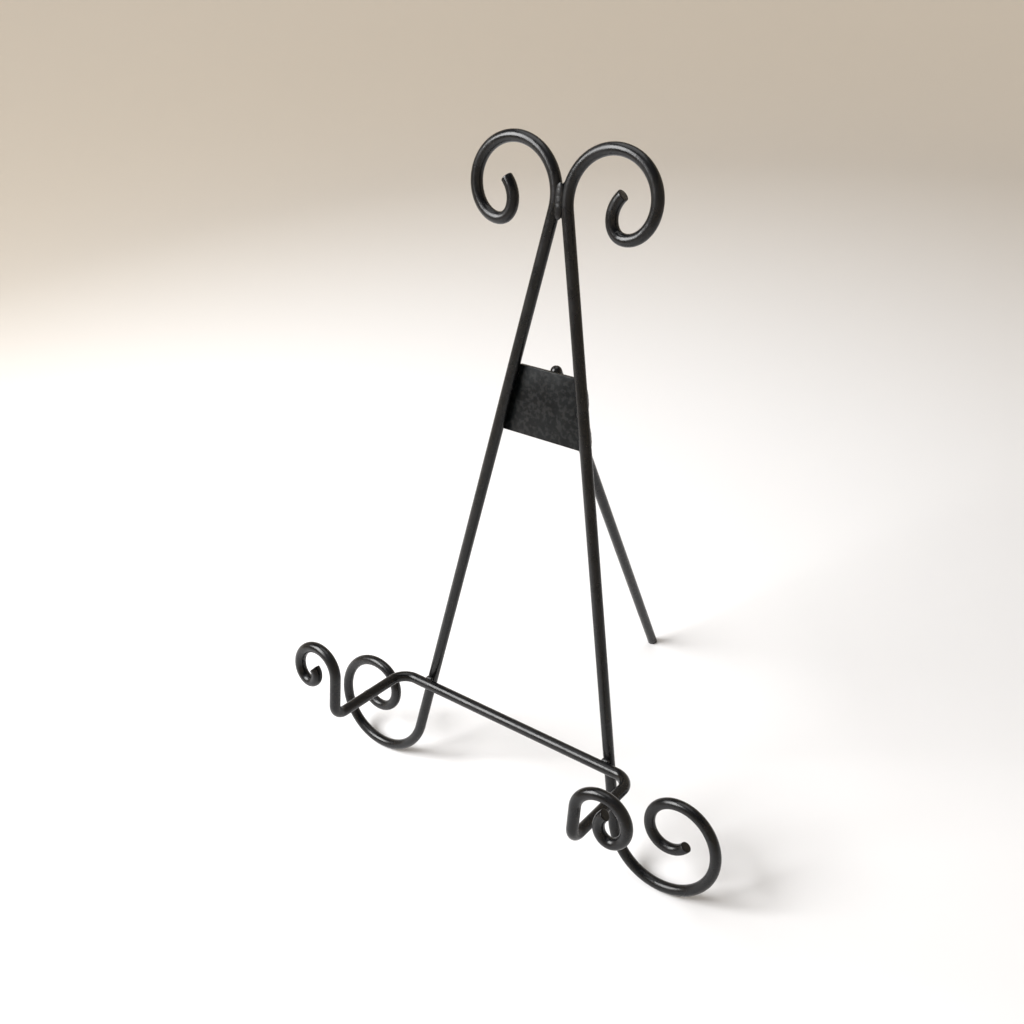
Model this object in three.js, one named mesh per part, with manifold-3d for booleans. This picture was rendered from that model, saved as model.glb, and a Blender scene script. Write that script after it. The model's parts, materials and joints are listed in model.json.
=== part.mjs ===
// Tabletop easel: two side bars, a ledge and a hinged rear leg, bent from one size of round steel
// bar and welded together.
//
// Millimetres, +Z up, +X to the right of a person facing the easel, +Y towards its back. The origin
// is on the surface that the easel stands on, in the middle of the space that it covers.
//
// The frame (everything but the rear leg) is laid out upright and then leaned back as one group.
// In that group z is the height along the frame, from where the side bars' straight part meets the
// foot scrolls, and y is the distance behind the side bars' centre plane.

import * as THREE from "three";
import { mergeVertices } from "three/addons/utils/BufferGeometryUtils.js";
import Module from "manifold-3d";

const degrees = THREE.MathUtils.degToRad;

// ---- Driving dimensions ----

const BAR_RADIUS = 3.175; // quarter-inch round bar
const GAP = 0.3; // left between pieces that touch

const FRAME_LEAN = degrees(16);
const SIDE_SPREAD = degrees(11.65); // each side bar from the middle line
const STRAIGHT_HEIGHT = 329.3; // of the side bars' straight part, along the frame
const TOP_SCROLL = { turn: degrees(417.5), radii: [27.6, 24.6, 20.4, 6.2, 18] };
const FOOT_SCROLL = { turn: degrees(497), radii: [32.4, 32.2, 27, 16.4, 12.9, 12.5] };

const LEDGE = {
  height: 37.6,
  halfWidth: 82.3, // to the arms' centrelines
  armBend: 10,
  armRun: 42.1, // straight part of each arm
  armDroop: degrees(2.7), // from square to the frame
  lipBend: 7.8,
};
// The lips are bent by hand, so the two are not quite alike. Each opens outwards, turned a
// little towards the back.
const RIGHT_LIP = {
  stem: 12.9, turn: degrees(404), radii: [11.5, 16.4, 5.6, 11.2], towardsBack: degrees(4.4),
};
const LEFT_LIP = {
  stem: 17.5, turn: degrees(411), radii: [13.6, 15.2, 5.7, 5.4], towardsBack: degrees(1.5),
};

const PLATE = { bottom: 210.1, top: 247.7, thickness: 2, inset: 1.2 }; // inset from the bars' centrelines

const PIN = { belowPlateTop: 7, behindPlate: 7.8, radius: 1.5, headRadius: 2.7, headHeight: 1.3 };
const HOLE_RADIUS = PIN.radius + GAP;
const WASHER = { radius: 3.3, thickness: 0.8 };
const PIN_SHOULDER = { height: 0.5, radius: 0.6 }; // of each head, as parts of its height and radius
// above and below are from the pin. The ears' round edge runs from earFrom to earTo, where 0 is
// straight back from the pin and 90 degrees is up.
const BRACKET = {
  thickness: 1.5, earRadius: 4, above: 1, below: 16, earFrom: degrees(-50), earTo: degrees(115),
};

const LEG_OPENING = degrees(35); // between the frame and the leg at its open stop
const LEG_REACH = 330; // longer than the distance to the floor, where it is cut level

// Half sizes of the lumps of weld metal along x, y and z, and where their middles are.
const TOP_WELD = { half: [2.4, 1.3, 9], offCentre: 2.4, belowJunction: 1 };
const LEDGE_WELD = { half: [2.4, 1.4, 1.4], offCentre: 2.4, forwards: 0.6 };
const PLATE_WELD = { half: [1.3, 1.3, 6], inwards: 0.1, behindCentre: 4.25, fromEdge: 9 };
const BRACKET_WELD = { half: [1.7, 1.5, 5.5], fromEar: 0.9, behindPlate: 0.9, belowPin: 8.8 };

const BAR_SIDES = 10;
const ROUND_SIDES = 20; // of holes, pin, washers and leg
const WELD_SIDES = [14, 10]; // round a weld and from end to end
const DOME_STEPS = 5;
const BEND_STEP = degrees(15);
const CUTTER = 40; // longer than anything cut at the hinge

// ---- Derived places ----

// The side bars lie closest just above their straight part, where the top scrolls begin to turn.
const junctionX = BAR_RADIUS + GAP / 2 + TOP_SCROLL.radii[0] * (1 - Math.cos(SIDE_SPREAD));
const sideX = (height) => junctionX + (STRAIGHT_HEIGHT - height) * Math.tan(SIDE_SPREAD);
const ledgeY = -(2 * BAR_RADIUS + GAP);
const plateFront = BAR_RADIUS + GAP;
const plateBack = plateFront + PLATE.thickness;
const pinY = plateBack + PIN.behindPlate;
const pinHeight = PLATE.top - PIN.belowPlateTop;
const earInside = BAR_RADIUS + WASHER.thickness + 2 * GAP;
const earOutside = earInside + BRACKET.thickness;
const bracketFront = plateBack + GAP;
// The leg's domed head comes to rest on the plate's back when the leg is fully open.
const legHead = (PIN.behindPlate - BAR_RADIUS - GAP) / Math.sin(LEG_OPENING);

const X = new THREE.Vector3(1, 0, 0);
const Z = new THREE.Vector3(0, 0, 1);

// ---- Solids ----

const wasm = await Module();
wasm.setup();

function solidOf(geometry) {
  const bare = geometry.clone();
  bare.deleteAttribute("normal");
  bare.deleteAttribute("uv");
  const merged = mergeVertices(bare, 1e-3);
  return new wasm.Manifold(new wasm.Mesh({
    numProp: 3,
    vertProperties: merged.attributes.position.array,
    triVerts: new Uint32Array(merged.index.array),
  }));
}

function geometryOf(solid) {
  const { vertProperties, triVerts } = solid.getMesh();
  const geometry = new THREE.BufferGeometry();
  geometry.setAttribute("position", new THREE.BufferAttribute(new Float32Array(vertProperties), 3));
  geometry.setIndex(new THREE.BufferAttribute(new Uint32Array(triVerts), 1));
  geometry.computeVertexNormals();
  return geometry;
}

const cut = (geometry, ...tools) =>
  geometryOf(tools.reduce((rest, tool) => rest.subtract(solidOf(tool)), solidOf(geometry)));

// ---- Bent bars ----

// Walks along a bar's centreline, one straight run or bend at a time. A bend's radius changes
// evenly from each of its radii to the next.
class BarPath {
  constructor(start, heading) {
    this.stations = [{ point: start.clone(), heading: heading.clone().normalize() }];
  }

  move(length, turnAxis, angle) {
    const { point, heading } = this.stations.at(-1);
    const chord = heading.clone().applyAxisAngle(turnAxis, angle / 2);
    this.stations.push({
      point: point.clone().addScaledVector(chord, length),
      heading: heading.clone().applyAxisAngle(turnAxis, angle),
    });
  }

  straight(length) {
    this.move(length, Z, 0);
    return this;
  }

  bend(turnAxis, turn, radii) {
    const count = Math.ceil(turn / BEND_STEP);
    const angle = turn / count;
    for (let i = 0; i < count; i++) {
      const place = ((i + 0.5) / count) * (radii.length - 1);
      const k = Math.min(Math.floor(place), radii.length - 2);
      const radius = radii.length === 1
        ? radii[0]
        : THREE.MathUtils.lerp(radii[k], radii[k + 1], place - k);
      this.move(2 * radius * Math.sin(angle / 2), turnAxis, angle);
    }
    return this;
  }

  // Bends towards another direction about the axis square to both.
  bendTo(direction, radius) {
    const { heading } = this.stations.at(-1);
    const axis = heading.clone().cross(direction).normalize();
    return this.bend(axis, heading.angleTo(direction), [radius]);
  }

  backwards() {
    return this.stations
      .map(({ point, heading }) => ({ point, heading: heading.clone().negate() }))
      .reverse();
  }
}

// A curve through stations, stepping evenly from one station to the next whatever their distance.
class StationCurve extends THREE.Curve {
  constructor(stations) {
    super();
    this.stations = stations;
  }

  between(t, key) {
    const place = t * (this.stations.length - 1);
    const i = Math.min(Math.round(place - 0.5), this.stations.length - 2);
    const k = Math.max(i, 0);
    return this.stations[k][key].clone().lerp(this.stations[k + 1][key], place - k);
  }

  getPoint(t) {
    return this.between(t, "point");
  }

  getTangent(t) {
    return this.between(t, "heading").normalize();
  }

  getUtoTmapping(u) {
    return u;
  }
}

function circle(radius, sides) {
  const corners = Array.from({ length: sides }, (_, i) => {
    const angle = ((i + 0.5) / sides) * 2 * Math.PI;
    return new THREE.Vector2(radius * Math.cos(angle), radius * Math.sin(angle));
  });
  return new THREE.Shape(corners);
}

const barGeometry = (stations, radius = BAR_RADIUS) =>
  new THREE.ExtrudeGeometry(circle(radius, BAR_SIDES), {
    steps: stations.length - 1,
    bevelEnabled: false,
    extrudePath: new StationCurve(stations),
  });

// One side bar, from the inner end of its top scroll down to the inner end of its foot scroll.
// side is 1 on the right and -1 on the left.
function sideBarStations(side) {
  const up = new THREE.Vector3(-side * Math.sin(SIDE_SPREAD), 0, Math.cos(SIDE_SPREAD));
  const outwardsFromTop = new THREE.Vector3(0, side, 0);
  const junction = new THREE.Vector3(side * sideX(STRAIGHT_HEIGHT), 0, STRAIGHT_HEIGHT);
  const top = new BarPath(junction, up).bend(outwardsFromTop, TOP_SCROLL.turn, TOP_SCROLL.radii);

  const footStart = new THREE.Vector3(side * sideX(0), 0, 0);
  const outwardsFromFoot = outwardsFromTop.clone().negate();
  const foot = new BarPath(footStart, up.clone().negate())
    .bend(outwardsFromFoot, FOOT_SCROLL.turn, FOOT_SCROLL.radii);
  return [...top.backwards(), ...foot.stations];
}

// Half of the ledge bar, from the middle of the cross bar to the inner end of the lip's scroll.
function ledgeHalf(side, lip) {
  const outwards = X.clone().multiplyScalar(side);
  const forwards = new THREE.Vector3(0, -Math.cos(LEDGE.armDroop), -Math.sin(LEDGE.armDroop));
  const opening = outwards.clone().applyAxisAngle(Z, side * lip.towardsBack);
  const scrollAxis = Z.clone().cross(opening).normalize();
  return new BarPath(new THREE.Vector3(0, ledgeY, LEDGE.height), outwards)
    .straight(LEDGE.halfWidth - LEDGE.armBend)
    .bendTo(forwards, LEDGE.armBend)
    .straight(LEDGE.armRun)
    .bendTo(Z, LEDGE.lipBend)
    .straight(lip.stem)
    .bend(scrollAxis, lip.turn, lip.radii);
}

function ledgeStations() {
  const right = ledgeHalf(1, RIGHT_LIP).stations;
  const left = ledgeHalf(-1, LEFT_LIP).backwards();
  return [...left.slice(0, -1), ...right.slice(1)];
}

const sideStations = { left: sideBarStations(-1), right: sideBarStations(1) };
const ledgeBar = ledgeStations();

// ---- Sheet pieces ----

// A flat shape drawn in x and z, as thick as depth and with its front face at y = front.
function sheet(shape, front, depth) {
  return new THREE.ExtrudeGeometry(shape, { depth, bevelEnabled: false })
    .rotateX(Math.PI / 2)
    .translate(0, front + depth, 0);
}

// A flat shape drawn in y and z, from x = start towards +x.
function sideSheet(shape, start, depth) {
  return new THREE.ExtrudeGeometry(shape, { depth, bevelEnabled: false })
    .rotateZ(Math.PI / 2)
    .rotateY(Math.PI / 2)
    .translate(start, 0, 0);
}

// The plate, or with extra the space that it needs, extra wider all round.
function plateGeometry(extra = 0) {
  const bottom = PLATE.bottom - extra;
  const top = PLATE.top + extra;
  const halfWidth = (height) => sideX(height) - PLATE.inset + extra;
  const outline = new THREE.Shape([
    new THREE.Vector2(-halfWidth(bottom), bottom),
    new THREE.Vector2(halfWidth(bottom), bottom),
    new THREE.Vector2(halfWidth(top), top),
    new THREE.Vector2(-halfWidth(top), top),
  ]);
  return sheet(outline, plateFront - extra, PLATE.thickness + 2 * extra);
}

const hingeHole = () =>
  new THREE.CylinderGeometry(HOLE_RADIUS, HOLE_RADIUS, CUTTER, ROUND_SIDES).rotateZ(Math.PI / 2);

function bracketGeometry() {
  const top = pinHeight + BRACKET.above;
  const bottom = pinHeight - BRACKET.below;
  const profile = new THREE.Shape();
  profile.moveTo(bracketFront, top);
  profile.lineTo(bracketFront, bottom);
  profile.lineTo(bracketFront + BRACKET.thickness, bottom);
  profile.absarc(pinY, pinHeight, BRACKET.earRadius, BRACKET.earFrom, BRACKET.earTo, false);
  const block = sideSheet(profile, -earOutside, 2 * earOutside);
  const channelFront = bracketFront + BRACKET.thickness;
  const channel = new THREE.BoxGeometry(2 * earInside, CUTTER, CUTTER)
    .translate(0, channelFront + CUTTER / 2, pinHeight);
  const pinHole = hingeHole().translate(0, pinY, pinHeight);
  return cut(block, channel, pinHole);
}

// A piece turned about the x axis, from its profile of [radius, x] corners.
const turnedAboutX = (corners) =>
  new THREE.LatheGeometry(corners.map(([r, x]) => new THREE.Vector2(r, x)), ROUND_SIDES)
    .rotateZ(-Math.PI / 2)
    .translate(0, pinY, pinHeight);

function pinGeometry() {
  const under = earOutside + GAP;
  const end = under + PIN.headHeight;
  const shoulder = under + PIN_SHOULDER.height * PIN.headHeight;
  const half = [
    [PIN.radius, under], [PIN.headRadius, under], [PIN.headRadius, shoulder],
    [PIN_SHOULDER.radius * PIN.headRadius, end], [0, end],
  ];
  const otherHalf = half.map(([r, x]) => [r, -x]).reverse();
  return turnedAboutX([...otherHalf, ...half]);
}

function washerGeometry(side) {
  const inner = side * (BAR_RADIUS + GAP);
  const outer = inner + side * WASHER.thickness;
  const [low, high] = side > 0 ? [inner, outer] : [outer, inner];
  return turnedAboutX([
    [HOLE_RADIUS, low], [WASHER.radius, low], [WASHER.radius, high], [HOLE_RADIUS, high],
    [HOLE_RADIUS, low],
  ]);
}

// ---- Welds ----

// A lump of weld metal, trimmed where the pieces it joins pass through it.
function weld([x, y, z], [sx, sy, sz], tilt, neighbours) {
  const lump = new THREE.SphereGeometry(1, ...WELD_SIDES)
    .scale(sx, sy, sz)
    .rotateY(tilt)
    .translate(x, y, z);
  return cut(lump, ...neighbours);
}

const sideClearance = {
  left: barGeometry(sideStations.left, BAR_RADIUS + GAP),
  right: barGeometry(sideStations.right, BAR_RADIUS + GAP),
};
const ledgeClearance = barGeometry(ledgeBar, BAR_RADIUS + GAP);
const plateClearance = plateGeometry(GAP);

const junctionHeight = STRAIGHT_HEIGHT + TOP_SCROLL.radii[0] * Math.sin(SIDE_SPREAD);
const topWeld = (face) =>
  weld([0, face * TOP_WELD.offCentre, junctionHeight - TOP_WELD.belowJunction], TOP_WELD.half, 0,
    [sideClearance.left, sideClearance.right]);

function ledgeWeld(side, above) {
  const height = LEDGE.height + above * LEDGE_WELD.offCentre;
  const name = side > 0 ? "right" : "left";
  return weld([side * sideX(height), ledgeY / 2 - LEDGE_WELD.forwards, height],
    LEDGE_WELD.half, 0, [sideClearance[name], ledgeClearance]);
}

// In the corner between the plate's slanted edge and the back of a side bar.
function plateWeld(side, height) {
  const name = side > 0 ? "right" : "left";
  return weld([side * (sideX(height) - PLATE_WELD.inwards), PLATE_WELD.behindCentre, height],
    PLATE_WELD.half, -side * SIDE_SPREAD, [sideClearance[name], plateClearance]);
}

function bracketWeld(side) {
  const x = side * (earOutside + BRACKET_WELD.fromEar);
  const y = plateBack + BRACKET_WELD.behindPlate;
  const height = pinHeight - BRACKET_WELD.belowPin;
  const bracketClearance = new THREE.BoxGeometry(2 * (earOutside + GAP), CUTTER, CUTTER)
    .translate(0, bracketFront + CUTTER / 2 - GAP, height);
  return weld([x, y, height], BRACKET_WELD.half, 0, [plateClearance, bracketClearance]);
}

// ---- Rear leg, with its pin at the origin and its foot towards -z ----

function legGeometry(floor) {
  const dome = Array.from({ length: DOME_STEPS }, (_, i) => {
    const angle = (i / DOME_STEPS) * (Math.PI / 2);
    return new THREE.Vector2(BAR_RADIUS * Math.cos(angle), legHead + BAR_RADIUS * Math.sin(angle));
  });
  const profile = [
    new THREE.Vector2(0, -LEG_REACH),
    new THREE.Vector2(BAR_RADIUS, -LEG_REACH),
    ...dome,
    new THREE.Vector2(0, legHead + BAR_RADIUS),
  ];
  const bar = new THREE.LatheGeometry(profile, ROUND_SIDES).rotateX(Math.PI / 2);
  return cut(bar, hingeHole(), floor);
}

// ---- Assembly ----

const easel = new THREE.Group();
const frame = new THREE.Group();
frame.rotation.x = -FRAME_LEAN;
const lowestFoot = Math.min(...sideStations.right.map(({ point }) => point.z));
frame.position.z = BAR_RADIUS - lowestFoot * Math.cos(FRAME_LEAN);
easel.add(frame);

const legGroup = new THREE.Group();
legGroup.position.set(0, pinY, pinHeight);
legGroup.rotation.x = LEG_OPENING;
frame.add(legGroup);

function add(group, name, geometry, color, roughness, metalness) {
  const material = new THREE.MeshStandardMaterial({ color, roughness, metalness });
  const mesh = new THREE.Mesh(geometry, material);
  mesh.name = name;
  group.add(mesh);
}
const BLACK_PAINT = [0x17191b, 0.45, 0.3];
const WELD_PAINT = [0x1b1d1f, 0.6, 0.3];
const WORN_STEEL = [0x4a4d50, 0.4, 0.9];

add(frame, "left_upright", barGeometry(sideStations.left), ...BLACK_PAINT);
add(frame, "right_upright", barGeometry(sideStations.right), ...BLACK_PAINT);
add(frame, "ledge_bar", barGeometry(ledgeBar), ...BLACK_PAINT);
add(frame, "hinge_plate", plateGeometry(), ...BLACK_PAINT);
add(frame, "hinge_bracket", bracketGeometry(), ...BLACK_PAINT);
add(frame, "hinge_pin", pinGeometry(), ...WORN_STEEL);
add(frame, "top_weld_front", topWeld(-1), ...WELD_PAINT);
add(frame, "top_weld_back", topWeld(1), ...WELD_PAINT);
for (const [side, name] of [[-1, "left"], [1, "right"]]) {
  add(frame, `${name}_washer`, washerGeometry(side), ...WORN_STEEL);
  add(frame, `ledge_weld_${name}_upper`, ledgeWeld(side, 1), ...WELD_PAINT);
  add(frame, `ledge_weld_${name}_lower`, ledgeWeld(side, -1), ...WELD_PAINT);
  const upperWeld = plateWeld(side, PLATE.top - PLATE_WELD.fromEdge);
  const lowerWeld = plateWeld(side, PLATE.bottom + PLATE_WELD.fromEdge);
  add(frame, `plate_weld_${name}_upper`, upperWeld, ...WELD_PAINT);
  add(frame, `plate_weld_${name}_lower`, lowerWeld, ...WELD_PAINT);
  add(frame, `bracket_weld_${name}`, bracketWeld(side), ...WELD_PAINT);
}

easel.updateMatrixWorld(true);
const belowFloor = new THREE.BoxGeometry(2 * LEG_REACH, 2 * LEG_REACH, LEG_REACH)
  .translate(0, 0, -LEG_REACH / 2)
  .applyMatrix4(legGroup.matrixWorld.clone().invert());
add(legGroup, "rear_leg", legGeometry(belowFloor), ...BLACK_PAINT);

const covered = new THREE.Box3().setFromObject(easel, true);
easel.position.y = -(covered.min.y + covered.max.y) / 2;

export default easel;
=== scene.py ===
import json
import math

import bmesh
import bpy
from mathutils import Matrix, Quaternion, Vector, noise


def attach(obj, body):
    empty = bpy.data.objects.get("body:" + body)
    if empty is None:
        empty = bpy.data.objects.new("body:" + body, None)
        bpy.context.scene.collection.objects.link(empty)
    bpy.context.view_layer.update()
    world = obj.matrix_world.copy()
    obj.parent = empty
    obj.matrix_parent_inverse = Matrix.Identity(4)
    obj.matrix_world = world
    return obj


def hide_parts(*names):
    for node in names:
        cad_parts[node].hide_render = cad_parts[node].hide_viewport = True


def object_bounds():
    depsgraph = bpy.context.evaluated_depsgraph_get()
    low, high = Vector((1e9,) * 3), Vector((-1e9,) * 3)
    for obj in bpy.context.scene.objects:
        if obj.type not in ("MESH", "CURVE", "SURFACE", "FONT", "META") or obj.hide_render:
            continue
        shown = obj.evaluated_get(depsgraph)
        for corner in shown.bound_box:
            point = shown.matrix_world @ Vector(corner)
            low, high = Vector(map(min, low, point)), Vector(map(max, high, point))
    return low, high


# Tabletop easel: finely made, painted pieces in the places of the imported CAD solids.
# Metres, +Z up, +X to the right of a person facing the easel, +Y towards its back.
#
# The frame (everything but the rear leg) is laid out upright and then leaned back about the
# hinge pin. In that layout z is the height along the frame, from where the side bars' straight
# part meets the foot scrolls, and y is the distance behind the side bars' centre plane.

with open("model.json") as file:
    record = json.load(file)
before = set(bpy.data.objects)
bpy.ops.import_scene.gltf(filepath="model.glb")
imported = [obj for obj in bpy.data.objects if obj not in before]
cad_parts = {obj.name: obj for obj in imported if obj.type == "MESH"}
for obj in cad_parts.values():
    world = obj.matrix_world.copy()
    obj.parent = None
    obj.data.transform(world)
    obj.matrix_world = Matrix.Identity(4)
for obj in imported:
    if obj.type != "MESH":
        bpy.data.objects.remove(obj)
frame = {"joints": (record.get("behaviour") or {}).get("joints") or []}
cad_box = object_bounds()

MM = 0.001
X, Y, Z = Vector((1, 0, 0)), Vector((0, 1, 0)), Vector((0, 0, 1))

# ---- Driving dimensions, the same as the CAD's ----

BAR_RADIUS = 3.175 * MM
GAP = 0.3 * MM

FRAME_LEAN = math.radians(16)
SIDE_SPREAD = math.radians(11.65)
STRAIGHT_HEIGHT = 329.3 * MM
TOP_SCROLL = {"turn": math.radians(417.5), "radii": [27.6, 24.6, 20.4, 6.2, 18]}
FOOT_SCROLL = {"turn": math.radians(497), "radii": [32.4, 32.2, 27, 16.4, 12.9, 12.5]}

LEDGE_HEIGHT = 37.6 * MM
LEDGE_HALF_WIDTH = 82.3 * MM
ARM_BEND = 10 * MM
ARM_RUN = 42.1 * MM
ARM_DROOP = math.radians(2.7)
LIP_BEND = 7.8 * MM
RIGHT_LIP = {
    "stem": 12.9 * MM, "turn": math.radians(404), "radii": [11.5, 16.4, 5.6, 11.2],
    "towards_back": math.radians(4.4),
}
LEFT_LIP = {
    "stem": 17.5 * MM, "turn": math.radians(411), "radii": [13.6, 15.2, 5.7, 5.4],
    "towards_back": math.radians(1.5),
}

PLATE_BOTTOM = 210.1 * MM
PLATE_TOP = 247.7 * MM
PLATE_THICKNESS = 2 * MM
PLATE_INSET = 1.2 * MM

PIN_BELOW_PLATE_TOP = 7 * MM
PIN_BEHIND_PLATE = 7.8 * MM
PIN_RADIUS = 1.5 * MM
PIN_HEAD_RADIUS = 2.7 * MM
PIN_HEAD_HEIGHT = 1.3 * MM
HOLE_RADIUS = PIN_RADIUS + GAP
WASHER_RADIUS = 3.3 * MM
WASHER_THICKNESS = 0.8 * MM
BRACKET_THICKNESS = 1.5 * MM
BRACKET_BEND = 1.2 * MM  # inside radius of its two folds
EAR_RADIUS = 4 * MM
EAR_FROM = math.radians(-50)
EAR_TO = math.radians(115)
BRACKET_ABOVE_PIN = 1 * MM
BRACKET_BELOW_PIN = 16 * MM

LEG_OPENING = math.radians(35)

# ---- Details of this model alone ----

PLATE_SEAT = 0.25 * MM  # how far the plate is pressed into the backs of the side bars
PIN_RIM = 0.3  # part of a pin head's height below its dome
WASHER_EDGE = WASHER_THICKNESS / 3  # width of the slope round a washer's rim
LEG_REACH = 330 * MM  # longer than the distance to the floor, where it is cut level
CUT_SPARE = 1 * MM  # how far a cutting shape passes the sheet that it cuts

# Weld beads, in the places of the CAD's plain lumps. half gives the half sizes across, outwards
# and along.
TOP_WELD = {
    "half": (2.4 * MM, 1.3 * MM, 9 * MM), "ripples": 5,
    "off_centre": 2.3 * MM, "below_junction": 1 * MM,
}
LEDGE_WELD = {
    "half": (1.4 * MM, 1.4 * MM, 2.4 * MM), "ripples": 3,
    "off_centre": 2.4 * MM, "forwards": 0.6 * MM,
}
PLATE_WELD = {
    "half": (1.3 * MM, 1.3 * MM, 6 * MM), "ripples": 5,
    "from_edge": 9 * MM, "inwards": 0.1 * MM, "behind_centre": 4.25 * MM,
}
BRACKET_WELD = {
    "half": (1.6 * MM, 1.5 * MM, 5.5 * MM), "ripples": 4,
    "off_corner": 0.9 * MM, "below_pin": 8.8 * MM,
}
RIPPLE_DEPTH = 0.07  # part of a bead's size
RIPPLE_ROUNDNESS = 0.6  # the smaller, the fuller each ripple
RIPPLE_BOW = 0.9  # how far each ripple runs ahead in its middle, in quarters of its length
BEAD_LUMP_SIZE = 1.3 * MM
BEAD_LUMP_DEPTH = 0.12 * MM

# ---- Fineness of the meshes ----

BAR_SIDES = 36
BEND_STEP = math.radians(3)
STRAIGHT_STEP = 5 * MM
ROUND_SIDES = 48
FOLD_STEPS = 8
EAR_STEPS = 24
PIN_DOME_STEPS = 8
LEG_DOME_STEPS = 12
BEAD_SIDES = 28
RINGS_PER_RIPPLE = 10
CUT_EDGE = 0.4 * MM  # rounding of a sheared bar end under its paint
CUT_EDGE_STEPS = 4
SHEET_EDGE = 0.3 * MM
SOFT_SEGMENTS = 3
SMOOTH_BELOW = math.radians(40)

# ---- Derived places ----

junction_x = BAR_RADIUS + GAP / 2 + TOP_SCROLL["radii"][0] * MM * (1 - math.cos(SIDE_SPREAD))
junction_height = STRAIGHT_HEIGHT + TOP_SCROLL["radii"][0] * MM * math.sin(SIDE_SPREAD)
ledge_y = -(2 * BAR_RADIUS + GAP)
plate_front = BAR_RADIUS + GAP
plate_back = plate_front + PLATE_THICKNESS
pin_y = plate_back + PIN_BEHIND_PLATE
pin_height = PLATE_TOP - PIN_BELOW_PLATE_TOP
ear_inside = BAR_RADIUS + WASHER_THICKNESS + 2 * GAP
ear_outside = ear_inside + BRACKET_THICKNESS
bracket_front = plate_back + GAP
leg_head = (PIN_BEHIND_PLATE - BAR_RADIUS - GAP) / math.sin(LEG_OPENING)


def side_x(height):
    """How far a side bar's centreline is from the middle, at a height on its straight part."""
    return junction_x + (STRAIGHT_HEIGHT - height) * math.tan(SIDE_SPREAD)


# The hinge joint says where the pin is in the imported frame, and the rest is placed from it.
pin_place = Vector(frame["joints"][0]["pos_m"])
layout_to_part = (
    Matrix.Translation(pin_place)
    @ Matrix.Rotation(-FRAME_LEAN, 4, "X")
    @ Matrix.Translation((0, -pin_y, -pin_height))
)
hinge_to_part = layout_to_part @ Matrix.Translation((0, pin_y, pin_height))
leg_to_part = Matrix.Translation(pin_place) @ Matrix.Rotation(LEG_OPENING - FRAME_LEAN, 4, "X")


# ---- Bent bars ----

class BarPath:
    """Walks along a bar's centreline, one straight run or bend at a time.

    A bend's radius changes evenly from each of its radii to the next.
    """

    def __init__(self, start, heading):
        self.stations = [(Vector(start), Vector(heading).normalized())]

    def move(self, length, axis, angle):
        point, heading = self.stations[-1]
        chord = Quaternion(axis, angle / 2) @ heading
        self.stations.append((point + chord * length, Quaternion(axis, angle) @ heading))

    def straight(self, length):
        count = max(1, round(length / STRAIGHT_STEP))
        for _ in range(count):
            self.move(length / count, Z, 0)
        return self

    def bend(self, axis, turn, radii):
        count = math.ceil(turn / BEND_STEP)
        angle = turn / count
        for i in range(count):
            place = (i + 0.5) / count * (len(radii) - 1)
            k = max(0, min(int(place), len(radii) - 2))
            after = min(k + 1, len(radii) - 1)
            radius = radii[k] + (radii[after] - radii[k]) * (place - k)
            self.move(2 * radius * math.sin(angle / 2), axis, angle)
        return self

    def bend_to(self, direction, radius):
        heading = self.stations[-1][1]
        axis = heading.cross(direction).normalized()
        return self.bend(axis, heading.angle(direction), [radius])

    def backwards(self):
        return [(point, -heading) for point, heading in reversed(self.stations)]


def in_metres(scroll):
    return [radius * MM for radius in scroll["radii"]]


def side_bar_stations(side):
    """A side bar's centreline, from the inner end of its top scroll to that of its foot scroll."""
    up = Vector((-side * math.sin(SIDE_SPREAD), 0, math.cos(SIDE_SPREAD)))
    straight_top = Vector((side * side_x(STRAIGHT_HEIGHT), 0, STRAIGHT_HEIGHT))
    straight_foot = Vector((side * side_x(0), 0, 0))
    top = BarPath(straight_top, up).bend(side * Y, TOP_SCROLL["turn"], in_metres(TOP_SCROLL))
    down = BarPath(straight_top, -up).straight((straight_top - straight_foot).length)
    down.bend(-side * Y, FOOT_SCROLL["turn"], in_metres(FOOT_SCROLL))
    return top.backwards() + down.stations[1:]


def ledge_half(side, lip):
    """Half of the ledge bar, from the middle of its cross bar to the inner end of its lip."""
    outwards = side * X
    forwards = Vector((0, -math.cos(ARM_DROOP), -math.sin(ARM_DROOP)))
    opening = Quaternion(Z, side * lip["towards_back"]) @ outwards
    path = BarPath((0, ledge_y, LEDGE_HEIGHT), outwards)
    path.straight(LEDGE_HALF_WIDTH - ARM_BEND).bend_to(forwards, ARM_BEND).straight(ARM_RUN)
    path.bend_to(Z, LIP_BEND).straight(lip["stem"])
    return path.bend(Z.cross(opening).normalized(), lip["turn"], in_metres(lip))


def rounded_end(point, out):
    """Rings from a bar's side round to its cut face: (centre, radius) of each."""
    rings = []
    for step in range(CUT_EDGE_STEPS + 1):
        angle = step / CUT_EDGE_STEPS * math.pi / 2
        back = CUT_EDGE * (1 - math.sin(angle))
        rings.append((point - out * back, BAR_RADIUS - CUT_EDGE * (1 - math.cos(angle))))
    rings.append((point, BAR_RADIUS / 2))
    return rings


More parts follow.
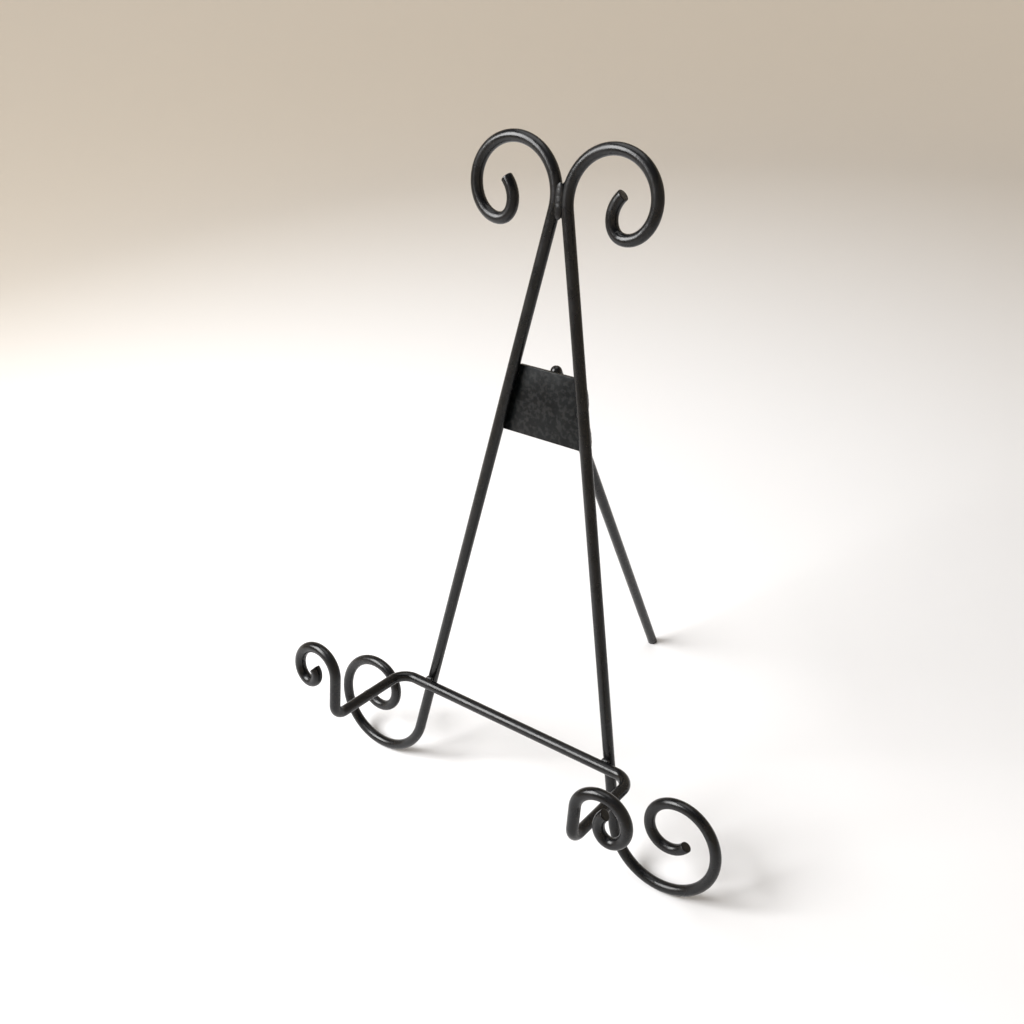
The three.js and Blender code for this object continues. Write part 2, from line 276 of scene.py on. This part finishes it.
def bar_mesh(stations):
    """A round bar along the stations, with a cut face at each end."""
    (first, first_heading), (last, last_heading) = stations[0], stations[-1]
    rings = [(p, first_heading, r) for p, r in reversed(rounded_end(first, -first_heading))]
    rings += [(p, heading, BAR_RADIUS) for p, heading in stations[1:-1]]
    rings += [(p, last_heading, r) for p, r in rounded_end(last, last_heading)]
    mesh = bmesh.new()
    across = first_heading.orthogonal().normalized()
    before = first_heading
    rows = []
    for centre, heading, radius in rings:
        across = before.rotation_difference(heading) @ across
        before = heading
        other = heading.cross(across)
        row = []
        for i in range(BAR_SIDES):
            angle = i / BAR_SIDES * 2 * math.pi
            spoke = across * math.cos(angle) + other * math.sin(angle)
            row.append(mesh.verts.new(centre + spoke * radius))
        rows.append(row)
    stitch(mesh, rows)
    fan(mesh, rows[0], mesh.verts.new(first), True)
    fan(mesh, rows[-1], mesh.verts.new(last), False)
    return mesh


def stitch(mesh, rows):
    """Joins rings of vertices with rows of four-sided faces."""
    for low, high in zip(rows, rows[1:]):
        for i in range(len(low)):
            k = (i + 1) % len(low)
            mesh.faces.new((low[i], low[k], high[k], high[i]))


def fan(mesh, ring, centre, reverse):
    for i in range(len(ring)):
        corners = [ring[i], ring[(i + 1) % len(ring)], centre]
        mesh.faces.new(corners[::-1] if reverse else corners)


# ---- Turned, sheet and weld pieces ----

def turned_mesh(profile, sides=ROUND_SIDES):
    """A body turned about the x axis, from its profile of (radius, x) corners.

    Where the profile starts or ends on the axis it closes there, and else it closes on itself.
    """
    mesh = bmesh.new()
    closed = profile[0] == profile[-1]
    inner = profile[:-1] if closed else profile[1:-1]
    rows = []
    for radius, x in inner:
        row = []
        for i in range(sides):
            angle = i / sides * 2 * math.pi
            row.append(mesh.verts.new((x, radius * math.cos(angle), radius * math.sin(angle))))
        rows.append(row)
    if closed:
        stitch(mesh, rows + rows[:1])
    else:
        stitch(mesh, rows)
        fan(mesh, rows[0], mesh.verts.new((profile[0][1], 0, 0)), True)
        fan(mesh, rows[-1], mesh.verts.new((profile[-1][1], 0, 0)), False)
    return mesh


def prism_mesh(outline, depth):
    """A flat outline of points, as deep as the vector depth."""
    mesh = bmesh.new()
    near = [mesh.verts.new(point) for point in outline]
    far = [mesh.verts.new(point + depth) for point in outline]
    mesh.faces.new(near)
    mesh.faces.new(far[::-1])
    stitch(mesh, [far, near])
    return mesh


def arc(centre, radius, start, end, steps):
    """Points (a, b) on an arc in a flat drawing."""
    turn = [start + (end - start) * i / steps for i in range(steps + 1)]
    return [(centre[0] + radius * math.cos(t), centre[1] + radius * math.sin(t)) for t in turn]


def bead_mesh(middle, half, along, out, ripples, seed):
    """A bead of weld metal: a lump drawn out in one direction, in overlapping rounded ripples."""
    across = along.cross(out).normalized()
    mesh = bmesh.new()
    steps = RINGS_PER_RIPPLE * ripples
    rows = []
    for step in range(1, steps):
        place = 2 * step / steps - 1
        # Even along its length, and closed with rounded ends.
        swell = (1 - place ** 4) ** 0.5
        ripple = abs(math.sin(math.pi * ripples * (place + 1) / 2)) ** RIPPLE_ROUNDNESS
        size = swell * (1 - RIPPLE_DEPTH + RIPPLE_DEPTH * ripple)
        row = []
        for i in range(BEAD_SIDES):
            angle = i / BEAD_SIDES * 2 * math.pi
            a, b = math.cos(angle), math.sin(angle)
            bow = RIPPLE_BOW * (1 - a * a) / ripples * swell
            point = middle + across * (a * size * half[0]) + out * (b * size * half[1])
            point += along * ((place + bow / 2) * half[2])
            lump = noise.noise(point / BEAD_LUMP_SIZE + Vector((seed, 0, 0)))
            point += (point - middle).normalized() * lump * BEAD_LUMP_DEPTH
            row.append(mesh.verts.new(point))
        rows.append(row)
    stitch(mesh, rows)
    fan(mesh, rows[0], mesh.verts.new(middle - along * half[2]), True)
    fan(mesh, rows[-1], mesh.verts.new(middle + along * half[2]), False)
    return mesh


# ---- From mesh to piece ----

def new_object(name, mesh, place):
    mesh.transform(place)
    bmesh.ops.recalc_face_normals(mesh, faces=mesh.faces)
    data = bpy.data.meshes.new(name)
    mesh.to_mesh(data)
    mesh.free()
    thing = bpy.data.objects.new(name, data)
    bpy.context.scene.collection.objects.link(thing)
    return thing


def carve(thing, tool, operation="DIFFERENCE"):
    """Cuts one object by another, or keeps what they share, and removes the tool."""
    modifier = thing.modifiers.new("carve", "BOOLEAN")
    modifier.operation = operation
    modifier.solver = "EXACT"
    modifier.object = tool
    apply_modifiers(thing)
    bpy.data.objects.remove(tool)


def soften(thing, width):
    """Rounds the edges of a cut or folded piece, as its paint does."""
    modifier = thing.modifiers.new("soften", "BEVEL")
    modifier.width = width
    modifier.segments = SOFT_SEGMENTS
    modifier.limit_method = "ANGLE"
    modifier.angle_limit = SMOOTH_BELOW
    modifier.use_clamp_overlap = True
    apply_modifiers(thing)


def apply_modifiers(thing):
    bpy.context.view_layer.update()
    graph = bpy.context.evaluated_depsgraph_get()
    data = bpy.data.meshes.new_from_object(thing.evaluated_get(graph))
    thing.modifiers.clear()
    thing.data = data


def piece(thing, body, material):
    """Finishes a piece: smooth shading, its material, its body and the CAD node it stands for."""
    node = thing.name.removesuffix("_made")
    thing.data.shade_smooth()
    thing.data.set_sharp_from_angle(angle=SMOOTH_BELOW)
    thing.data.materials.clear()
    thing.data.materials.append(material)
    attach(thing, body)
    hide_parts(node)


# ---- Materials ----

class Surface:
    """A node material with a Principled shader, and short ways to add the nodes used here."""

    def __init__(self, name):
        self.material = bpy.data.materials.new(name)
        self.material.use_nodes = True
        self.nodes = self.material.node_tree.nodes
        self.links = self.material.node_tree.links
        self.shader = self.nodes["Principled BSDF"]
        self.coords = self.nodes.new("ShaderNodeTexCoord").outputs["Object"]

    def noise(self, feature, detail, stretch=None):
        """Cloudy noise, 0 to 1, with patches about as large as feature."""
        source = self.coords
        if stretch is not None:
            mapping = self.nodes.new("ShaderNodeMapping")
            mapping.inputs["Scale"].default_value = stretch
            self.links.new(source, mapping.inputs["Vector"])
            source = mapping.outputs["Vector"]
        node = self.nodes.new("ShaderNodeTexNoise")
        node.inputs["Scale"].default_value = 1 / feature
        node.inputs["Detail"].default_value = detail
        self.links.new(source, node.inputs["Vector"])
        return node.outputs["Fac"]

    def ranged(self, value, low, high, to_low=0.0, to_high=1.0):
        """Maps low..high of a value to to_low..to_high, and no further."""
        node = self.nodes.new("ShaderNodeMapRange")
        node.interpolation_type = "SMOOTHSTEP"
        node.inputs["From Min"].default_value = low
        node.inputs["From Max"].default_value = high
        node.inputs["To Min"].default_value = to_low
        node.inputs["To Max"].default_value = to_high
        self.links.new(value, node.inputs["Value"])
        return node.outputs["Result"]

    def math(self, operation, first, second):
        node = self.nodes.new("ShaderNodeMath")
        node.operation = operation
        node.use_clamp = True
        for socket, value in zip(node.inputs, (first, second)):
            if isinstance(value, (int, float)):
                socket.default_value = value
            else:
                self.links.new(value, socket)
        return node.outputs["Value"]

    def mix(self, factor, first, second):
        """Mixes two colours or two numbers by factor."""
        node = self.nodes.new("ShaderNodeMix")
        colour = isinstance(second, tuple)
        node.data_type = "RGBA" if colour else "FLOAT"
        # The node has two inputs and an output for each type of value that it can mix.
        start, result = (6, 2) if colour else (2, 0)
        self.links.new(factor, node.inputs[0])
        for socket, value in zip(node.inputs[start:start + 2], (first, second)):
            if isinstance(value, tuple):
                socket.default_value = (*value, 1)
            elif isinstance(value, float):
                socket.default_value = value
            else:
                self.links.new(value, socket)
        return node.outputs[result]

    def bump(self, height, depth, under=None):
        node = self.nodes.new("ShaderNodeBump")
        node.inputs["Strength"].default_value = 1
        node.inputs["Distance"].default_value = depth
        self.links.new(height, node.inputs["Height"])
        if under is not None:
            self.links.new(under, node.inputs["Normal"])
        return node.outputs["Normal"]

    def edges(self, low, high):
        """1 on convex edges and 0 elsewhere."""
        return self.ranged(self.nodes.new("ShaderNodeNewGeometry").outputs["Pointiness"], low, high)

    def set(self, socket, value):
        if hasattr(value, "links"):
            self.links.new(value, self.shader.inputs[socket])
        else:
            self.shader.inputs[socket].default_value = value


# Sizes of the patches in the paint, and how far its roughness strays from its middle value.
CLOUD_SIZE = 14 * MM
CLOUD_SPAN = (0.3, 0.7)  # of the cloudy noise, where most of its values lie
TONE_SPAN = (0.35, 0.65)
CLOUD_SMOOTHER = 0.05
CLOUD_ROUGHER = 0.06
DUST_SIZE = 5 * MM
DUST_SPAN = (0.56, 0.72)
DUST_GRAIN_SIZE = 0.5 * MM
DUST_GRAIN_SPAN = (0.5, 0.7)
DUST_STRENGTH = 0.05
DUST_COLOUR = (0.1, 0.1, 0.1)
DUST_ROUGHER = 0.12
RUBBED_SIZE = 2.5 * MM
RUBBED_SPAN = (0.45, 0.62)
RUBBED_EDGES = (0.53, 0.6)  # of the pointiness, which is 0.5 where a surface is flat
RUBBED_COLOUR = (0.07, 0.07, 0.07)
RUBBED_METAL = 0.6
LUMP_SIZE = 4 * MM
PEEL_SIZE = 0.9 * MM

# Blackened steel of the hinge.
STEEL_COLOUR = (0.05, 0.05, 0.052)
STEEL_BRIGHT = (0.32, 0.31, 0.3)
STEEL_METAL = 0.9
STEEL_ROUGHNESS = (0.3, 0.5)
STEEL_EDGES = (0.52, 0.6)
STEEL_WEAR_SIZE = 1.6 * MM
STEEL_WEAR_SPAN = (0.52, 0.68)
SCRATCH_SIZE = 0.6 * MM
SCRATCH_STRETCH = (4, 0.6, 0.6)
SCRATCH_DEPTH = 0.02 * MM


def black_paint(name, colour, lifted, shine, roughness, peel, lump):
    """Satin black paint on steel, with rubbed edges, a little dust and a fine orange peel.

    colour and lifted are its deepest and its palest tone, shine is how much it reflects when seen
    squarely, and peel and lump are the depths of the fine and the coarse unevenness.
    """
    s = Surface(name)
    clouds = s.noise(CLOUD_SIZE, detail=3.0)
    grain = s.ranged(s.noise(DUST_GRAIN_SIZE, detail=2.0), *DUST_GRAIN_SPAN)
    dust = s.math("MULTIPLY", s.ranged(s.noise(DUST_SIZE, detail=4.0), *DUST_SPAN), grain)
    worn = s.ranged(s.noise(RUBBED_SIZE, detail=4.0), *RUBBED_SPAN)
    rubbed = s.math("MULTIPLY", s.edges(*RUBBED_EDGES), worn)
    tone = s.mix(s.ranged(clouds, *TONE_SPAN), colour, lifted)
    dusty = s.mix(s.math("MULTIPLY", dust, DUST_STRENGTH), tone, DUST_COLOUR)
    s.set("Base Color", s.mix(rubbed, dusty, RUBBED_COLOUR))
    clean = s.ranged(clouds, *CLOUD_SPAN, roughness - CLOUD_SMOOTHER, roughness + CLOUD_ROUGHER)
    s.set("Roughness", s.mix(dust, clean, roughness + DUST_ROUGHER))
    s.set("Metallic", s.mix(rubbed, 0.0, RUBBED_METAL))
    s.set("Specular IOR Level", shine)
    coarse = s.bump(s.noise(LUMP_SIZE, detail=1.0), lump)
    s.set("Normal", s.bump(s.noise(PEEL_SIZE, detail=1.5), peel, under=coarse))
    return s.material


def dark_steel(name):
    """Blackened steel of the pin and washers, rubbed bright where it turns."""
    s = Surface(name)
    scratches = s.noise(SCRATCH_SIZE, detail=3.0, stretch=SCRATCH_STRETCH)
    worn = s.ranged(s.noise(STEEL_WEAR_SIZE, detail=3.0), *STEEL_WEAR_SPAN)
    rubbed = s.math("MAXIMUM", s.edges(*STEEL_EDGES), worn)
    s.set("Base Color", s.mix(rubbed, STEEL_COLOUR, STEEL_BRIGHT))
    s.set("Metallic", STEEL_METAL)
    s.set("Roughness", s.ranged(scratches, *CLOUD_SPAN, *STEEL_ROUGHNESS))
    s.set("Normal", s.bump(scratches, SCRATCH_DEPTH))
    return s.material


bar_paint = black_paint(
    "satin_black_bar_paint",
    colour=(0.0025, 0.0027, 0.0032), lifted=(0.005, 0.0052, 0.006),
    shine=0.34, roughness=0.27, peel=0.03 * MM, lump=0.12 * MM,
)
sheet_paint = black_paint(
    "satin_black_sheet_paint",
    colour=(0.002, 0.0028, 0.0034), lifted=(0.003, 0.0041, 0.0048),
    shine=0.18, roughness=0.36, peel=0.02 * MM, lump=0.1 * MM,
)
weld_paint = black_paint(
    "satin_black_weld_paint",
    colour=(0.003, 0.0032, 0.0038), lifted=(0.006, 0.0062, 0.007),
    shine=0.32, roughness=0.34, peel=0.03 * MM, lump=0.12 * MM,
)
hinge_steel = dark_steel("blackened_hinge_steel")


# ---- Pieces ----

def make_bars():
    for name, side in (("left_upright", -1), ("right_upright", 1)):
        bar = new_object(name + "_made", bar_mesh(side_bar_stations(side)), layout_to_part)
        piece(bar, "frame", bar_paint)
    right = ledge_half(1, RIGHT_LIP).stations
    left = ledge_half(-1, LEFT_LIP).backwards()
    ledge = new_object("ledge_bar_made", bar_mesh(left + right[1:]), layout_to_part)
    piece(ledge, "frame", bar_paint)


def make_plate():
    front = BAR_RADIUS - PLATE_SEAT
    corners = [
        Vector((side * (side_x(height) - PLATE_INSET), front, height))
        for side, height in ((-1, PLATE_BOTTOM), (1, PLATE_BOTTOM), (1, PLATE_TOP), (-1, PLATE_TOP))
    ]
    slab = prism_mesh(corners, Y * (plate_back - front))
    plate = new_object("hinge_plate_made", slab, layout_to_part)
    soften(plate, SHEET_EDGE)
    piece(plate, "frame", sheet_paint)


def make_bracket():
    """A folded channel, cut to the ears' outline and drilled for the pin."""
    far_back = bracket_front + 3 * EAR_RADIUS + BRACKET_THICKNESS
    fold = (ear_inside - BRACKET_BEND, bracket_front + BRACKET_THICKNESS + BRACKET_BEND)
    outer_bend = BRACKET_BEND + BRACKET_THICKNESS
    outer = [(ear_outside, far_back), *arc(fold, outer_bend, 0, -math.pi / 2, FOLD_STEPS)]
    inner = [(ear_inside, far_back), *arc(fold, BRACKET_BEND, 0, -math.pi / 2, FOLD_STEPS)]
    section = outer + [(-x, y) for x, y in reversed(outer)]
    section += [(-x, y) for x, y in inner] + inner[::-1]
    bottom = pin_height - BRACKET_BELOW_PIN
    length = BRACKET_BELOW_PIN + 2 * EAR_RADIUS
    outline = [Vector((x, y, bottom)) for x, y in section]
    bracket = new_object("hinge_bracket_made", prism_mesh(outline, Z * length), Matrix())

    web_back = bracket_front + BRACKET_THICKNESS
    cut_front, cut_bottom = bracket_front - CUT_SPARE, bottom - CUT_SPARE
    side_view = [(cut_front, cut_bottom), (web_back, cut_bottom), (web_back, bottom)]
    side_view += arc((pin_y, pin_height), EAR_RADIUS, EAR_FROM, EAR_TO, EAR_STEPS)
    side_view += [(cut_front, pin_height + BRACKET_ABOVE_PIN)]
    cheek = [Vector((-2 * ear_outside, y, z)) for y, z in side_view]
    keep = new_object("cheek", prism_mesh(cheek, X * 4 * ear_outside), Matrix())
    carve(bracket, keep, "INTERSECT")
    carve(bracket, hinge_drill(Matrix.Translation((0, pin_y, pin_height))))
    bracket.data.transform(layout_to_part)
    soften(bracket, SHEET_EDGE / 2)
    piece(bracket, "frame", sheet_paint)


def hinge_drill(place):
    """A round rod to cut the pin's holes with, longer each way than the hinge is wide."""
    reach = 4 * ear_outside
    profile = [(0, -reach), (HOLE_RADIUS, -reach), (HOLE_RADIUS, reach), (0, reach)]
    return new_object("drill", turned_mesh(profile), place)


def make_pin():
    """A rivet with two low domed heads."""
    under = ear_outside + GAP
    dome = arc((0, 0), 1, 0, math.pi / 2, PIN_DOME_STEPS)
    rim = PIN_RIM * PIN_HEAD_HEIGHT
    head = [
        (PIN_HEAD_RADIUS * a, under + rim + (PIN_HEAD_HEIGHT - rim) * b) for a, b in dome[:-1]
    ]
    half = [(PIN_RADIUS, under), (PIN_HEAD_RADIUS, under), *head, (0, under + PIN_HEAD_HEIGHT)]
    profile = [(radius, -x) for radius, x in reversed(half)] + half
    pin = new_object("hinge_pin_made", turned_mesh(profile), hinge_to_part)
    piece(pin, "frame", hinge_steel)


def make_washers():
    for name, side in (("left_washer", -1), ("right_washer", 1)):
        near = BAR_RADIUS + GAP
        far = near + WASHER_THICKNESS
        flat = WASHER_RADIUS - WASHER_EDGE
        profile = [
            (HOLE_RADIUS, near), (flat, near), (WASHER_RADIUS, near + WASHER_EDGE),
            (WASHER_RADIUS, far - WASHER_EDGE), (flat, far), (HOLE_RADIUS, far),
            (HOLE_RADIUS, near),
        ]
        ring = [(radius, side * x) for radius, x in profile]
        washer = new_object(name + "_made", turned_mesh(ring), hinge_to_part)
        piece(washer, "frame", hinge_steel)


def make_leg():
    """A straight bar with a domed, drilled head and a foot cut level with the floor."""
    dome = [
        (BAR_RADIUS * a, -(leg_head + BAR_RADIUS * b))
        for a, b in arc((0, 0), 1, 0, math.pi / 2, LEG_DOME_STEPS)[:-1]
    ]
    count = round(LEG_REACH / STRAIGHT_STEP)
    shank = [(BAR_RADIUS, LEG_REACH * i / count) for i in range(1, count + 1)]
    profile = [(0, -(leg_head + BAR_RADIUS)), *reversed(dome), *shank, (0, LEG_REACH)]
    leg_axis = Matrix.Rotation(math.pi / 2, 4, "Y")
    leg = new_object("rear_leg_made", turned_mesh(profile, BAR_SIDES), leg_to_part @ leg_axis)
    carve(leg, hinge_drill(leg_to_part))
    corners = [Vector((a, b, 0)) * LEG_REACH for a, b in ((-1, -1), (1, -1), (1, 1), (-1, 1))]
    carve(leg, new_object("floor_cut", prism_mesh(corners, -Z * LEG_REACH), Matrix()))
    soften(leg, SHEET_EDGE)
    piece(leg, "leg", bar_paint)


def weld(name, middle, kind, along, out):
    seed = len(name)  # where in the noise the bead's unevenness is taken from
    bead = bead_mesh(Vector(middle), kind["half"], along, out, kind["ripples"], seed)
    piece(new_object(name + "_made", bead, layout_to_part), "frame", weld_paint)


def make_welds():
    top_height = junction_height - TOP_WELD["below_junction"]
    for name, face in (("top_weld_front", -1), ("top_weld_back", 1)):
        weld(name, (0, face * TOP_WELD["off_centre"], top_height), TOP_WELD, Z, face * Y)
    for word, side in (("left", -1), ("right", 1)):
        down_bar = Vector((side * math.sin(SIDE_SPREAD), 0, -math.cos(SIDE_SPREAD)))
        out_and_back = Vector((side, 1, 0)).normalized()
        for end, above, plate_edge in (("upper", 1, PLATE_TOP), ("lower", -1, PLATE_BOTTOM)):
            height = LEDGE_HEIGHT + above * LEDGE_WELD["off_centre"]
            place = (side * side_x(height), ledge_y / 2 - LEDGE_WELD["forwards"], height)
            weld(f"ledge_weld_{word}_{end}", place, LEDGE_WELD, X, Z * above)
            height = plate_edge - above * PLATE_WELD["from_edge"]
            from_middle = side_x(height) - PLATE_WELD["inwards"]
            place = (side * from_middle, PLATE_WELD["behind_centre"], height)
            weld(f"plate_weld_{word}_{end}", place, PLATE_WELD, down_bar, out_and_back)
        off_corner = BRACKET_WELD["off_corner"]
        height = pin_height - BRACKET_WELD["below_pin"]
        place = (side * (ear_outside + off_corner), plate_back + off_corner, height)
        weld(f"bracket_weld_{word}", place, BRACKET_WELD, Z, out_and_back)


make_bars()
make_plate()
make_bracket()
make_pin()
make_washers()
make_leg()
make_welds()


# ---- Floor, light and camera ----

FLOOR_RADIUS = 1.1
SWEEP_RADIUS = 0.6
WALL_TOP = 1.6
FLOOR_RINGS = 6
SWEEP_STEPS = 16
STAGE_SIDES = 96
FLOOR_NEAR_COLOUR = (0.74, 0.74, 0.75)
FLOOR_FAR_COLOUR = (0.6, 0.54, 0.46)
FLOOR_FADE = (0.3, 1.5)  # distances from the object between which the colour changes
FLOOR_ROUGHNESS = 0.7
LIGHT_DISTANCE = 1.3
ROOM_COLOUR = (0.9, 0.88, 0.85)
ROOM_STRENGTH = 0.08


def make_stage():
    """A pale round floor that sweeps up into a low wall all round."""
    profile = [(FLOOR_RADIUS * i / FLOOR_RINGS, 0.0) for i in range(1, FLOOR_RINGS + 1)]
    sweep = arc((FLOOR_RADIUS, SWEEP_RADIUS), SWEEP_RADIUS, -math.pi / 2, 0, SWEEP_STEPS)
    profile += sweep[1:] + [(FLOOR_RADIUS + SWEEP_RADIUS, WALL_TOP)]
    mesh = bmesh.new()
    rows = []
    for radius, height in profile:
        row = []
        for i in range(STAGE_SIDES):
            angle = i / STAGE_SIDES * 2 * math.pi
            row.append(mesh.verts.new((radius * math.cos(angle), radius * math.sin(angle), height)))
        rows.append(row)
    stitch(mesh, rows)
    fan(mesh, rows[0], mesh.verts.new((0, 0, 0)), True)
    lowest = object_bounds()[0].z
    stage = new_object("floor", mesh, Matrix.Translation((0, 0, lowest)))
    stage.data.shade_smooth()
    s = Surface("pale_floor")
    distance = s.nodes.new("ShaderNodeVectorMath")
    distance.operation = "LENGTH"
    s.links.new(s.coords, distance.inputs[0])
    far = s.ranged(distance.outputs["Value"], *FLOOR_FADE)
    s.set("Base Color", s.mix(far, FLOOR_NEAR_COLOUR, FLOOR_FAR_COLOUR))
    s.set("Roughness", FLOOR_ROUGHNESS)
    stage.data.materials.append(s.material)


def add_light(name, direction, size, power, colour):
    """A square soft light that shines on the middle of the object."""
    low, high = cad_box
    middle = (low + high) / 2
    light = bpy.data.lights.new(name, "AREA")
    light.size = size
    light.energy = power
    light.color = colour
    thing = bpy.data.objects.new(name, light)
    out = Vector(direction).normalized()
    thing.location = middle + out * LIGHT_DISTANCE
    thing.rotation_euler = out.to_track_quat("Z", "Y").to_euler()
    bpy.context.scene.collection.objects.link(thing)


def make_light():
    add_light("window", (-0.52, -0.55, 0.65), size=0.8, power=36, colour=(1.0, 1.0, 1.0))
    add_light("overhead", (-0.1, 0.25, 1), size=1.0, power=7, colour=(1.0, 0.99, 0.975))
    world = bpy.data.worlds.new("room")
    world.use_nodes = True
    background = world.node_tree.nodes["Background"]
    background.inputs["Color"].default_value = (*ROOM_COLOUR, 1)
    background.inputs["Strength"].default_value = ROOM_STRENGTH
    bpy.context.scene.world = world


CAMERA_PLACE = Vector((300.4, -391.8, 541.6)) * MM
CAMERA_AZIMUTH = math.radians(39.67)
CAMERA_ELEVATION = math.radians(35.71)
CAMERA_ROLL = math.radians(6.51)
CAMERA_LENS = 38.81


def make_camera():
    camera = bpy.data.cameras.new("camera")
    camera.lens = CAMERA_LENS
    thing = bpy.data.objects.new("camera", camera)
    turn = (
        Matrix.Rotation(CAMERA_AZIMUTH, 4, "Z")
        @ Matrix.Rotation(math.pi / 2 - CAMERA_ELEVATION, 4, "X")
        @ Matrix.Rotation(-CAMERA_ROLL, 4, "Z")
    )
    thing.matrix_world = Matrix.Translation(CAMERA_PLACE) @ turn
    bpy.context.scene.collection.objects.link(thing)
    bpy.context.scene.camera = thing


make_stage()
make_light()
make_camera()
bpy.context.scene.view_settings.view_transform = "Standard"
